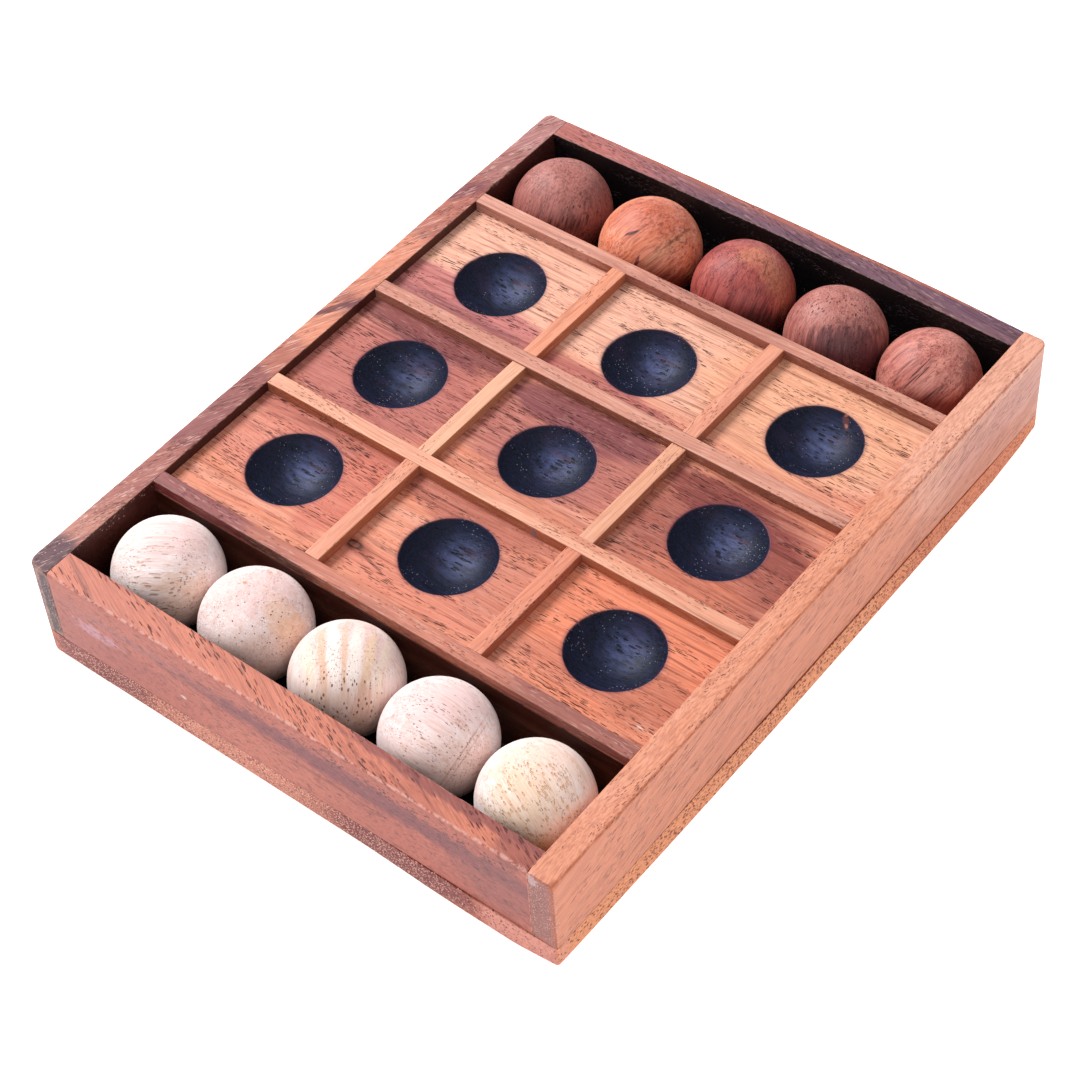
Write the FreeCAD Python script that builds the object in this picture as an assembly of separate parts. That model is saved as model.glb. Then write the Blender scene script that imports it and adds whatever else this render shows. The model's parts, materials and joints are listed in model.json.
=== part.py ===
"""Noughts-and-crosses ball tray, in millimetres, one solid for each wooden piece.

X runs along the short sides and Y along the long sides, from the light balls' trough (front) to the dark
balls' trough (back). Z is up. The origin is the middle of the underside.
"""
import FreeCAD, Part
import math
import os

# ---------------------------------------------------------------- driving dimensions
tray_width = 125.0
tray_length = 160.0
tray_height = 25.0
base_thickness = 6.2                # at its rim, where the rails stand
base_field_rise = 1.0               # inside the rails the base is left this much thicker
left_rail_thickness = 5.3
right_rail_thickness = 5.5
back_rail_thickness = 5.4
front_rail_left_thickness = 6.4     # this rail was sawn with a slight taper
front_rail_right_thickness = 5.2

corner_radii = {                    # the four outer uprights, by the signs of X and Y, rounded by hand
    (-1, -1): 2.3,
    (1, -1): 0.8,
    (1, 1): 1.2,
    (-1, 1): 1.8,
}
top_edge_radius = 0.5
bottom_edge_radius = 0.6

strip_width = 3.4
strip_height = 3.3
strip_pitch = 33.0                  # between the long strips, middle to middle
panel_drop = 2.3                    # from the rails' top down to the panel
middle_divider_drop = 0.3           # the middle row's dividers sit this much lower
divider_columns = {"left": -19.5, "right": 19.6}
strip_edge_radius = 0.25

dimple_rim_radius = 9.6
dimple_cutter_radius = 11.5
dimple_rim_easing = 0.3
dimple_columns = {"left": -38.6, "centre": 0.1, "right": 39.0}
dimple_rows = {"near": -31.5, "middle": 0.5, "far": 32.5}
dimple_drift = {                    # two holes were drilled off their row's line
    ("middle", "centre"): -2.0,
    ("far", "centre"): -1.0,
}

ball_floor_gap = 0.05
# The balls were turned by hand and lie loose, so each has its own X, Y and diameter.
light_balls = [
    (-43.4, -62.65, 22.0),
    (-21.1, -62.5, 22.0),
    (1.1, -62.45, 21.9),
    (23.45, -63.2, 22.3),
    (45.75, -63.6, 21.9),
]
dark_balls = [
    (-45.7, 62.4, 21.7),
    (-22.6, 62.6, 22.1),
    (0.8, 63.0, 21.8),
    (23.7, 62.8, 21.4),
    (45.6, 63.3, 21.2),
]

# ---------------------------------------------------------------- worked out from them
half_width = tray_width / 2
half_length = tray_length / 2
inner_left = -half_width + left_rail_thickness
inner_right = half_width - right_rail_thickness
inner_back = half_length - back_rail_thickness
inner_front_left = -half_length + front_rail_left_thickness
inner_front_right = -half_length + front_rail_right_thickness
floor_height = base_thickness + base_field_rise
panel_top = tray_height - panel_drop
groove_floor = tray_height - strip_height
long_strip_middles = [(index - 1.5) * strip_pitch for index in range(4)]
panel_front = long_strip_middles[0] - strip_width / 2
panel_back = long_strip_middles[3] + strip_width / 2
dimple_centre_height = panel_top + math.sqrt(dimple_cutter_radius ** 2 - dimple_rim_radius ** 2)

LONG_STRIP_NAMES = ["near_trough_strip", "near_cross_strip", "far_cross_strip", "far_trough_strip"]
ROW_NAMES = ["near", "middle", "far"]
TOLERANCE = 0.001


# ---------------------------------------------------------------- helpers
def block(x_span, y_span, z_span):
    """A box between the two ends of each span."""
    corner = FreeCAD.Vector(x_span[0], y_span[0], z_span[0])
    return Part.makeBox(x_span[1] - x_span[0], y_span[1] - y_span[0], z_span[1] - z_span[0], corner)


def edges_at_height(solid, height):
    """The edges that lie level at one height."""
    return [
        edge for edge in solid.Edges
        if abs(edge.BoundBox.ZMin - height) < TOLERANCE and abs(edge.BoundBox.ZMax - height) < TOLERANCE
    ]


def corner_edge(solid, x, y):
    """The straight edge that runs up from one corner of a plan."""
    return [
        edge for edge in solid.Edges
        if all(math.hypot(vertex.X - x, vertex.Y - y) < TOLERANCE for vertex in edge.Vertexes)
    ]


def outer_form():
    """The whole tray as one block, with its corners rounded and its outer edges eased."""
    form = block((-half_width, half_width), (-half_length, half_length), (0, tray_height))
    for (x_sign, y_sign), radius in corner_radii.items():
        form = form.makeFillet(radius, corner_edge(form, x_sign * half_width, y_sign * half_length))
    form = form.makeFillet(top_edge_radius, edges_at_height(form, tray_height))
    return form.makeFillet(bottom_edge_radius, edges_at_height(form, 0))


def prism(corners, z_span):
    """An upright prism on a plan whose corners are (x, y) pairs."""
    points = [FreeCAD.Vector(x, y, z_span[0]) for x, y in corners]
    plan = Part.Face(Part.makePolygon(points + points[:1]))
    return plan.extrude(FreeCAD.Vector(0, 0, z_span[1] - z_span[0]))


# ---------------------------------------------------------------- tray
def base_board(form):
    """The board under everything. The rails stand in a shallow rebate round its rim, which locates them."""
    rim = form.common(block((-half_width, half_width), (-half_length, half_length), (0, base_thickness)))
    inside_rails = [
        (inner_left, inner_front_left),
        (inner_right, inner_front_right),
        (inner_right, inner_back),
        (inner_left, inner_back),
    ]
    field = prism(inside_rails, (base_thickness, floor_height))
    return rim.fuse(field).removeSplitter()


def side_rail(form, x_span):
    """A full-length rail that stands on the base, with its end grain at the front and back."""
    return form.common(block(x_span, (-half_length, half_length), (base_thickness, tray_height)))


def front_rail(form):
    """The tapered rail between the side rails, in front of the light balls."""
    corners = [
        (inner_left, -half_length),
        (inner_right, -half_length),
        (inner_right, inner_front_right),
        (inner_left, inner_front_left),
    ]
    return form.common(prism(corners, (base_thickness, tray_height)))


def back_rail(form):
    """The rail between the side rails, behind the dark balls."""
    return form.common(block((inner_left, inner_right), (inner_back, half_length), (base_thickness, tray_height)))


# ---------------------------------------------------------------- playing panel and its strips
def strip_spans():
    """Each strip's name, with the spans of its body along X, Y and Z."""
    spans = {}
    for name, middle in zip(LONG_STRIP_NAMES, long_strip_middles):
        y_span = (middle - strip_width / 2, middle + strip_width / 2)
        spans[name] = ((inner_left, inner_right), y_span, (groove_floor, tray_height))
    for row, name in enumerate(ROW_NAMES):
        y_span = (long_strip_middles[row] + strip_width / 2, long_strip_middles[row + 1] - strip_width / 2)
        drop = middle_divider_drop if name == "middle" else 0
        for side, column in divider_columns.items():
            x_span = (column - strip_width / 2, column + strip_width / 2)
            spans[f"{name}_{side}_divider"] = (x_span, y_span, (groove_floor - drop, tray_height - drop))
    return spans


def strip(spans):
    """A square strip with its two long top edges eased."""
    bar = block(*spans)
    along = "XLength" if bar.BoundBox.XLength > bar.BoundBox.YLength else "YLength"
    long_edges = [edge for edge in edges_at_height(bar, spans[2][1]) if getattr(edge.BoundBox, along) > strip_width]
    return bar.makeFillet(strip_edge_radius, long_edges)


def dimple_centres():
    """The place of each dimple, seen from above."""
    return [
        (x, y + dimple_drift.get((row, column), 0))
        for row, y in dimple_rows.items()
        for column, x in dimple_columns.items()
    ]


def playing_panel():
    """The raised board with nine round-bottomed dimples, grooved for the strips."""
    panel = block((inner_left, inner_right), (panel_front, panel_back), (floor_height, panel_top))
    for x, y in dimple_centres():
        cutter = Part.makeSphere(dimple_cutter_radius, FreeCAD.Vector(x, y, dimple_centre_height))
        panel = panel.cut(cutter)
    rims = [edge for edge in edges_at_height(panel, panel_top) if isinstance(edge.Curve, Part.Circle)]
    panel = panel.makeFillet(dimple_rim_easing, rims)
    for x_span, y_span, z_span in strip_spans().values():
        panel = panel.cut(block(x_span, y_span, z_span))
    return panel


# ---------------------------------------------------------------- balls
def ball(x, y, diameter):
    """One loose ball, resting on the floor of its trough."""
    return Part.makeSphere(diameter / 2, FreeCAD.Vector(x, y, floor_height + ball_floor_gap + diameter / 2))


# ---------------------------------------------------------------- all the pieces
def all_pieces():
    """Every piece by the name of its node."""
    form = outer_form()
    pieces = {
        "base_board": base_board(form),
        "left_rail": side_rail(form, (-half_width, inner_left)),
        "right_rail": side_rail(form, (inner_right, half_width)),
        "front_rail": front_rail(form),
        "back_rail": back_rail(form),
        "playing_panel": playing_panel(),
    }
    for name, spans in strip_spans().items():
        pieces[name] = strip(spans)
    for kind, balls in (("light", light_balls), ("dark", dark_balls)):
        for number, place_and_size in enumerate(balls, start=1):
            pieces[f"{kind}_ball_{number}"] = ball(*place_and_size)
    return pieces


os.makedirs("parts", exist_ok=True)
for name, shape in all_pieces().items():
    solid = shape.Solids[0]
    print(f"{name}: {len(shape.Solids)} solid, valid {shape.isValid()}, {shape.Volume:.0f} mm3")
    solid.exportStep(f"parts/{name}.step")
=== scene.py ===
"""Looks of the noughts-and-crosses ball tray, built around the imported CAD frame.

Meshes are worked out in millimetres and turned into metres as they are made. X is across the tray,
Y runs from the light balls to the dark ones, Z is up.
"""

import json
import math

import bmesh
import bpy
import numpy as np
from mathutils import Euler, Matrix, Vector, noise


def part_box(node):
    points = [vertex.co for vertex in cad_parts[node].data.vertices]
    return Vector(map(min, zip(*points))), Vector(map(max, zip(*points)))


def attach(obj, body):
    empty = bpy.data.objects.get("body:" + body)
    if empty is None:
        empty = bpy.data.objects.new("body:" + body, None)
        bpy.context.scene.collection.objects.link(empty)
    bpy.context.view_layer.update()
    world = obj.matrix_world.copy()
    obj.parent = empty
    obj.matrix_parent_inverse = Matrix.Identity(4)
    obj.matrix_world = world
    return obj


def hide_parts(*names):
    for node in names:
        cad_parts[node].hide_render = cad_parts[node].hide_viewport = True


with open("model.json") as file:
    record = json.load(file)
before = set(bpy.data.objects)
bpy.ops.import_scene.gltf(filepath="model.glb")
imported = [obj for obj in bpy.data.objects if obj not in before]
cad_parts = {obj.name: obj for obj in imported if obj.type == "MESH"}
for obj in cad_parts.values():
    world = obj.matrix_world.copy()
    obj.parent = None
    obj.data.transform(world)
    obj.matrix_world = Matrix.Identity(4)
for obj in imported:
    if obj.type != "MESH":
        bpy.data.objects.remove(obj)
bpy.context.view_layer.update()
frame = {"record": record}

MM = 0.001
TRAY = "tray"


def box_mm(node):
    """A CAD node's lowest and highest corner, in millimetres."""
    low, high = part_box(node)
    return np.array(low) / MM, np.array(high) / MM


# ------------------------------------------------------------------------------------------ camera
CAMERA_AZIMUTH = math.radians(41.263)
CAMERA_ELEVATION = math.radians(48.086)
CAMERA_ROLL = math.radians(-4.36)
CAMERA_DISTANCE = 0.52456
CAMERA_TARGET = Vector((-0.00192, -0.00302, 0.0))
CAMERA_LENS = 87.92


def camera_turn():
    """The camera's own axes in the tray's: right, up, and back towards the camera."""
    level = math.cos(CAMERA_ELEVATION)
    back = Vector((math.sin(CAMERA_AZIMUTH) * level, -math.cos(CAMERA_AZIMUTH) * level,
                   math.sin(CAMERA_ELEVATION)))
    right = Vector((0, 0, 1)).cross(back).normalized()
    up = back.cross(right)
    return Matrix((right, up, back)).transposed() @ Matrix.Rotation(CAMERA_ROLL, 3, "Z")


VIEW = camera_turn()


def make_camera():
    """A camera looking down at the light balls' corner, with the slight tilt it was held at."""
    data = bpy.data.cameras.new("camera")
    data.lens = CAMERA_LENS
    data.sensor_width = 36.0
    data.clip_start, data.clip_end = 0.05, 20.0
    camera = bpy.data.objects.new("camera", data)
    place = CAMERA_TARGET + VIEW.col[2] * CAMERA_DISTANCE
    camera.matrix_world = Matrix.Translation(place) @ VIEW.to_4x4()
    bpy.context.scene.collection.objects.link(camera)
    bpy.context.scene.camera = camera


# ------------------------------------------------------------------------------------------ studio
def area_light(name, place, size, power):
    """A square softbox aimed at the middle of the tray."""
    data = bpy.data.lights.new(name, "AREA")
    data.shape = "SQUARE"
    data.size = size
    data.energy = power
    light = bpy.data.objects.new(name, data)
    light.location = place
    light.rotation_mode = "QUATERNION"
    light.rotation_quaternion = (-Vector(place)).to_track_quat("-Z", "Y")
    bpy.context.scene.collection.objects.link(light)


def make_studio():
    """A white floor lit from below like a light table, a bright room and two softboxes."""
    world = bpy.data.worlds.new("studio")
    world.use_nodes = True
    backdrop = world.node_tree.nodes["Background"]
    backdrop.inputs["Color"].default_value = (1.0, 1.0, 1.0, 1.0)
    backdrop.inputs["Strength"].default_value = 0.62
    bpy.context.scene.world = world
    area_light("key", (-0.70, 0.06, 0.72), 0.40, 11.5)
    area_light("front_fill", (0.60, -0.70, 0.55), 0.8, 1.8)

    bm = bmesh.new()
    bmesh.ops.create_grid(bm, x_segments=8, y_segments=8, size=3.0)
    data = bpy.data.meshes.new("floor")
    bm.to_mesh(data)
    bm.free()
    floor = bpy.data.objects.new("floor", data)
    bpy.context.scene.collection.objects.link(floor)
    shade = Shade("floor_paper")
    paper = shade.noise(shade.node("ShaderNodeTexCoord").outputs["Object"], (40, 40, 40), detail=3.0)
    shade.surface(shade.ramp(paper, ["#F2F2F2", "#F6F6F6"], (0.35, 0.65)), roughness=0.9, glow=0.75)
    data.materials.append(shade.material)


# ---------------------------------------------------------------------------------------- materials
# Tones are given as they look under the studio light; this takes them back to the wood's own.
WOOD_GAIN = (0.78, 0.69, 0.69)


def linear(code):
    """A colour written as #RRGGBB, in linear light."""
    channels = [int(code[k:k + 2], 16) / 255 for k in (1, 3, 5)]
    return tuple(c / 12.92 if c <= 0.04045 else ((c + 0.055) / 1.055) ** 2.4 for c in channels) + (1.0,)


class Shade:
    """A material's node tree, with a short call for each kind of node used here."""

    def __init__(self, name, gain=(1.0, 1.0, 1.0)):
        self.gain = gain
        self.material = bpy.data.materials.new(name)
        self.material.use_nodes = True
        self.tree = self.material.node_tree
        self.tree.nodes.clear()

    def tone(self, code):
        """A tone as it looks under the light, taken back to the material's own colour."""
        return tuple(value * share for value, share in zip(linear(code), self.gain)) + (1.0,)

    def put(self, value, socket):
        """Links an output to the socket, or sets the socket to a plain value."""
        if isinstance(value, bpy.types.NodeSocket):
            self.tree.links.new(value, socket)
        else:
            socket.default_value = value

    def node(self, kind, **values):
        made = self.tree.nodes.new(kind)
        for name, value in values.items():
            if name in made.inputs:
                self.put(value, made.inputs[name])
            else:
                setattr(made, name, value)
        return made

    def math(self, operation, *values, clamp=False):
        made = self.node("ShaderNodeMath", operation=operation, use_clamp=clamp)
        for socket, value in zip(made.inputs, values):
            self.put(value, socket)
        return made.outputs[0]

    def times(self, first, second):
        return self.math("MULTIPLY", first, second)

    def vector(self, operation, *values):
        made = self.node("ShaderNodeVectorMath", operation=operation)
        for socket, value in zip(made.inputs, values):
            self.put(value, socket)
        return made.outputs["Value" if operation in ("LENGTH", "DISTANCE", "DOT_PRODUCT") else "Vector"]

    def mapping(self, vector, turn=(0, 0, 0), shift=(0, 0, 0), scale=(1, 1, 1)):
        made = self.node("ShaderNodeMapping", Vector=vector, Location=shift, Scale=scale, Rotation=turn)
        return made.outputs[0]

    def noise(self, vector, stretch, detail=2.0, roughness=0.5, output="Fac"):
        scaled = self.vector("MULTIPLY", vector, stretch)
        made = self.node("ShaderNodeTexNoise", Vector=scaled, Scale=1.0, Detail=detail, Roughness=roughness)
        return made.outputs[output]

    def cells(self, vector, stretch):
        scaled = self.vector("MULTIPLY", vector, stretch)
        return self.node("ShaderNodeTexVoronoi", Vector=scaled, Scale=1.0)

    def step(self, value, low, high):
        """0 below low, 1 above high, smooth between them, and the other way round where low is larger."""
        made = self.node("ShaderNodeMapRange", interpolation_type="SMOOTHSTEP")
        falls = low > high
        for socket, given in zip(made.inputs, (value, min(low, high), max(low, high), falls, not falls)):
            self.put(float(given) if isinstance(given, bool) else given, socket)
        return made.outputs[0]

    def mix(self, factor, first, second, mode="MIX"):
        made = self.node("ShaderNodeMix", data_type="RGBA", blend_type=mode)
        for index, value in ((0, factor), (6, first), (7, second)):
            self.put(value, made.inputs[index])
        return made.outputs[2]

    def coat(self, colour, code, mask, strength, mode="MIX"):
        """The colour with a tone laid over it where the mask is 1."""
        return self.mix(self.times(mask, strength), colour, self.tone(code), mode)

    def ramp(self, factor, codes, places):
        made = self.node("ShaderNodeValToRGB", Fac=factor)
        stops = made.color_ramp.elements
        while len(stops) < len(codes):
            stops.new(0.5)
        for stop, code, place in zip(stops, codes, places):
            stop.position = place
            stop.color = self.tone(code)
        return made.outputs["Color"]

    def surface(self, colour, roughness=0.5, height=None, specular=0.5, glow=0.0):
        """The Principled shader; height is in millimetres."""
        shader = self.node("ShaderNodeBsdfPrincipled", Roughness=roughness)
        self.put(colour, shader.inputs["Base Color"])
        shader.inputs["Specular IOR Level"].default_value = specular
        shader.inputs["Emission Color"].default_value = (1.0, 1.0, 1.0, 1.0)
        shader.inputs["Emission Strength"].default_value = glow
        if height is not None:
            bump = self.node("ShaderNodeBump", Strength=1.0, Distance=MM, Height=height)
            self.put(bump.outputs[0], shader.inputs["Normal"])
        output = self.node("ShaderNodeOutputMaterial")
        self.put(shader.outputs[0], output.inputs["Surface"])


def patch(middle, size, tone, strength=1.0, turn=0.0, ragged=0.4, soft=0.22, pores=None):
    """An ellipsoid in the tray's millimetres with a tone of its own: mostly a stain or a streak of other
    wood, while a few are painted shade and a few painted light.

    turn is in degrees about Z, or an Euler turn out of the tray's axes. With pores, as wood() takes them,
    only the pores inside the ellipsoid take the tone, and they are sunk.
    """
    if not isinstance(turn, Euler):
        turn = Euler((0, 0, -math.radians(turn)))
    return {"middle": middle, "size": size, "tone": tone, "strength": strength, "turn": turn,
            "ragged": ragged, "soft": soft, "pores": pores}


def face(normal, tone, strength, flecks=0.0, calm=0.0):
    """A side with a tone of its own, the flecks it adds and the share of pores it lacks; on the rails' and
    the panel's sides to the troughs the tone is painted shade over darker wood.
    """
    return {"normal": normal, "tone": tone, "strength": strength, "flecks": flecks, "calm": calm}


COARSE = (0.24, 3.2, 0.33, "#2C0C10", 0.95)
FINE = (0.36, 4.6, 0.26, "#551C16", 0.85)
HAIRS = (0.06, 2.6, 0.18, "#904636", 0.6)


def wood(name, tones, grain=(1, 0, 0), shift=(0, 0, 0), bands=(0.010, 0.22), streaks=0.35,
         streak_tone="#823F34", fibres=0.4, fibre_tone="#B47454", pores=(COARSE, FINE, HAIRS),
         crowd=(0.36, 0.56), flecks=0.35, fleck_tone="#F8D8C8", patches=(), faces=(), walls_and_painted_shade=(),
         stains=(), bare=(), wear=0.35, wear_tone="#F0BFA6", roughness=0.5, specular=0.4, relief=1.0,
         gain=WOOD_GAIN):
    """Solid wood: colour bands, streaks, fibres and pores that run through the piece along its grain.

    grain is its direction in the tray's axes and shift picks the place in the log. bands are colour bands
    per millimetre along and across the grain. Each layer of pores is: cells per millimetre along and across
    the grain, how much of its cell a pore fills, its tone and its strength. crowd says how they gather.
    Wall faces lay their tone over the patches; on the rails' and the panel's sides to the troughs that tone
    is painted shade over darker wood. bare are patches that lie over the stains.
    """
    shade = Shade(name, gain)
    source = shade.node("ShaderNodeTexCoord")
    normal = source.outputs["Normal"]
    place = shade.mapping(source.outputs["Object"], scale=(1 / MM,) * 3)
    swing = Vector(grain).rotation_difference(Vector((1, 0, 0))).to_euler()
    log = shade.mapping(place, turn=swing, shift=shift)
    for pitch, reach in (((0.02, 0.06, 0.06), 6.0), ((0.06, 0.3, 0.3), 0.25)):
        drift = shade.vector("SUBTRACT", shade.noise(log, pitch, detail=1.0, output="Color"),
                             (0.5, 0.5, 0.5))
        log = shade.vector("ADD", log, shade.vector("MULTIPLY", drift, (0.0, reach, reach)))

    along, across = bands
    band = shade.noise(log, (along, across, across), detail=4.0, roughness=0.6)
    colour = shade.ramp(band, tones, np.linspace(0.32, 0.68, len(tones)))
    torn = shade.noise(log, (0.10, 0.9, 0.9), detail=3.0)
    flecked, lively = flecks, 1.0
    for side in faces:
        mask = shade.step(shade.vector("DOT_PRODUCT", normal, side["normal"]), 0.45, 0.85)
        colour = shade.coat(colour, side["tone"], mask, side["strength"])
        if side["flecks"]:
            flecked = shade.math("ADD", flecked, shade.times(mask, side["flecks"]), clamp=True)
        if side["calm"]:
            lively = shade.math("SUBTRACT", lively, shade.times(mask, side["calm"]), clamp=True)
    for spot in patches:
        if spot["pores"] is None:
            colour = shade.coat(colour, spot["tone"], spot_mask(shade, place, torn, spot), spot["strength"])

    # Wall tones over the patches, without flecks: on the rails' and the panel's sides to the troughs they
    # are painted shade over darker wood.
    for side in walls_and_painted_shade:
        mask = shade.step(shade.vector("DOT_PRODUCT", normal, side["normal"]), 0.12, 0.55)
        colour = shade.coat(colour, side["tone"], mask, side["strength"])
        flecked = shade.times(flecked, shade.math("SUBTRACT", 1.0, mask))

    streak = shade.step(shade.noise(log, (0.03, 1.1, 1.1), detail=2.0, roughness=0.6), 0.53, 0.70)
    colour = shade.coat(colour, streak_tone, streak, streaks, "MULTIPLY")
    thread = shade.noise(log, (0.07, 2.6, 2.6), detail=3.0, roughness=0.7)
    dull = shade.step(thread, 0.60, 0.34)
    colour = shade.coat(colour, fibre_tone, dull, fibres, "MULTIPLY")
    pale = shade.step(shade.noise(log, (0.35, 3.6, 3.6), detail=1.0), 0.56, 0.68)
    pale = shade.times(pale, shade.step(torn, 0.38, 0.58))
    colour = shade.coat(colour, fleck_tone, pale, flecked)

    gather = shade.times(shade.step(shade.noise(log, (0.05, 0.35, 0.35), detail=1.0), *crowd), lively)
    sunk = 0.0
    for layer in pores:
        mask = pore_mask(shade, log, layer, gather)
        colour = shade.coat(colour, layer[3], mask, layer[4])
        sunk = shade.math("MAXIMUM", sunk, mask)
    for spot in patches:
        if spot["pores"] is not None:
            mask = pore_mask(shade, log, spot["pores"], spot_mask(shade, place, torn, spot))
            colour = shade.coat(colour, spot["tone"], mask, spot["strength"])
            sunk = shade.math("MAXIMUM", sunk, mask)

    rough = shade.math("ADD", roughness, shade.times(shade.math("SUBTRACT", thread, 0.5), 0.25))
    if stains:
        colour, rough, sunk = stained(shade, colour, rough, place, log, thread, sunk, torn, stains)
    for spot in bare:
        colour = shade.coat(colour, spot["tone"], spot_mask(shade, place, torn, spot), spot["strength"])

    edge = shade.node("ShaderNodeAttribute", attribute_name="edge").outputs["Fac"]
    chafe = shade.step(shade.noise(place, (0.6, 0.6, 0.6), detail=5.0, roughness=0.7), 0.40, 0.56)
    colour = shade.coat(colour, wear_tone, shade.times(edge, chafe), wear)

    fuzz = shade.noise(log, (0.9, 6.0, 6.0), detail=2.0)
    height = shade.times(sunk, -0.12 * relief)
    height = shade.math("ADD", height, shade.times(thread, 0.06 * relief))
    height = shade.math("ADD", height, shade.times(fuzz, 0.03 * relief))
    shade.surface(colour, rough, height, specular)
    return shade.material


def pore_mask(shade, log, layer, gather):
    """1 inside the pores, which shrink to nothing where they don't gather."""
    along, across, fill = layer[:3]
    cell = shade.cells(log, (along, across, across))
    limit = shade.math("MAXIMUM", shade.times(gather, fill), 0.001)
    return shade.step(shade.math("DIVIDE", cell.outputs["Distance"], limit), 1.0, 0.62)


def spot_mask(shade, place, torn, spot):
    """1 inside a patch and 0 outside, with a border torn along the grain."""
    local = shade.mapping(shade.vector("SUBTRACT", place, spot["middle"]), turn=spot["turn"])
    reach = shade.vector("LENGTH", shade.vector("DIVIDE", local, spot["size"]))
    edge = shade.times(shade.math("SUBTRACT", torn, 0.5), 2.0 * spot["ragged"])
    return shade.step(shade.math("ADD", reach, edge), 1.0 + spot["soft"], 1.0 - spot["soft"])


def stained(shade, colour, rough, place, log, thread, sunk, torn, stains):
    """Blue-black stain inside circles seen from above, (x, y, radius), bleeding a little along the grain.

    A painted sheen, a dull blue spot where the key light is reflected, lies on the far side of each circle
    up from its middle, and the grain is torn there; specks lie elsewhere.
    """
    flat = shade.vector("MULTIPLY", place, (1.0, 1.0, 0.0))
    near = painted_sheen = None
    for x, y, radius in stains:
        past = shade.math("SUBTRACT", shade.vector("DISTANCE", flat, (x, y, 0.0)), radius)
        near = past if near is None else shade.math("MINIMUM", near, past)
        past = shade.vector("DISTANCE", flat, (x - 0.05 * radius, y + 0.38 * radius, 0.0))
        painted_sheen = past if painted_sheen is None else shade.math("MINIMUM", painted_sheen, past)
    bleed = shade.times(shade.math("SUBTRACT", torn, 0.5), 0.35)
    near = shade.math("ADD", near, bleed)
    halo = shade.step(near, 0.9, -0.2)
    colour = shade.coat(colour, "#5A3050", halo, 0.5)
    # Painted sheen: dull blue reflected light on the far wall of each dimple, patchy, with the torn grain
    # gathered there.
    painted_sheen = shade.step(painted_sheen, 6.5, 0.5)
    ink = shade.mix(shade.step(thread, 0.34, 0.68), shade.tone("#030617"), shade.tone("#172348"))
    patchy = shade.step(shade.noise(log, (0.22, 0.7, 0.7), detail=4.0, roughness=0.7), 0.28, 0.66)
    ink = shade.coat(ink, "#6878B0", shade.times(painted_sheen, patchy), 0.6)
    violet = shade.step(shade.noise(place, (0.12, 0.2, 0.2), detail=2.0), 0.5, 0.75)
    ink = shade.coat(ink, "#402C50", violet, 0.3)
    tear = pore_mask(shade, log, (0.30, 1.5, 0.30), shade.math("ADD", shade.times(painted_sheen, 0.8), 0.35))
    ink = shade.coat(ink, "#020206", tear, 0.9)
    speck = shade.step(shade.cells(place, (1.0, 1.9, 1.9)).outputs["Distance"], 0.20, 0.12)
    strewn = shade.step(shade.noise(place, (0.22, 0.22, 0.22), detail=3.0), 0.50, 0.58)
    speck = shade.times(shade.times(speck, strewn), shade.math("SUBTRACT", 1.0, painted_sheen))
    ink = shade.coat(ink, "#C4CCDA", speck, 0.55)
    mask = shade.step(near, 0.10, -0.25)
    sunk = shade.math("MAXIMUM", sunk, shade.times(shade.times(tear, mask), 1.6))
    return shade.mix(mask, colour, ink), shade.math("ADD", rough, shade.times(mask, 0.04)), sunk


# ------------------------------------------------------------------------------------------- meshes
ARC_SPANS = 5
WOBBLE = 0.35                   # how much a rounded edge's radius varies along it, as a share
SWAY, SWAY_WAVE = 0.035, 23     # how far a sawn side strays from flat, and over what length
DIP, DIP_WAVE = 0.02, 17        # the same for a board's top
RIM_SWAY, RIM_WAVE = 0.05, 21   # and for the base's outline
END_RING = 0.86                 # the size of the ring inside a board's end
UNDER_RING = 0.97               # and of those inside the base's two faces


def rounding(distance, radius):
    """How far a corner of this radius has drawn in, at this distance from the end it rounds off."""
    if distance >= radius:
        return 0.0
    return radius - math.sqrt(radius ** 2 - (radius - distance) ** 2)


def graded(low, high, pitch, start=(), end=()):
    """Stations from low to high about a pitch apart, with extra ones at given distances from each end."""
    fixed = sorted({low, high, *(low + d for d in start), *(high - d for d in end)})
    stations = [fixed[0]]
    for here, there in zip(fixed, fixed[1:]):
        count = max(1, round((there - here) / pitch))
        stations += [here + (there - here) * k / count for k in range(1, count + 1)]
    return stations


def place_piece(name, data, nodes, material, body):
    """The object of a finished mesh, with its material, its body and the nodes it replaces."""
    data.materials.append(material)
    made = bpy.data.objects.new(name, data)
    bpy.context.scene.collection.objects.link(made)
    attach(made, body)
    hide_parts(*nodes)


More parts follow.
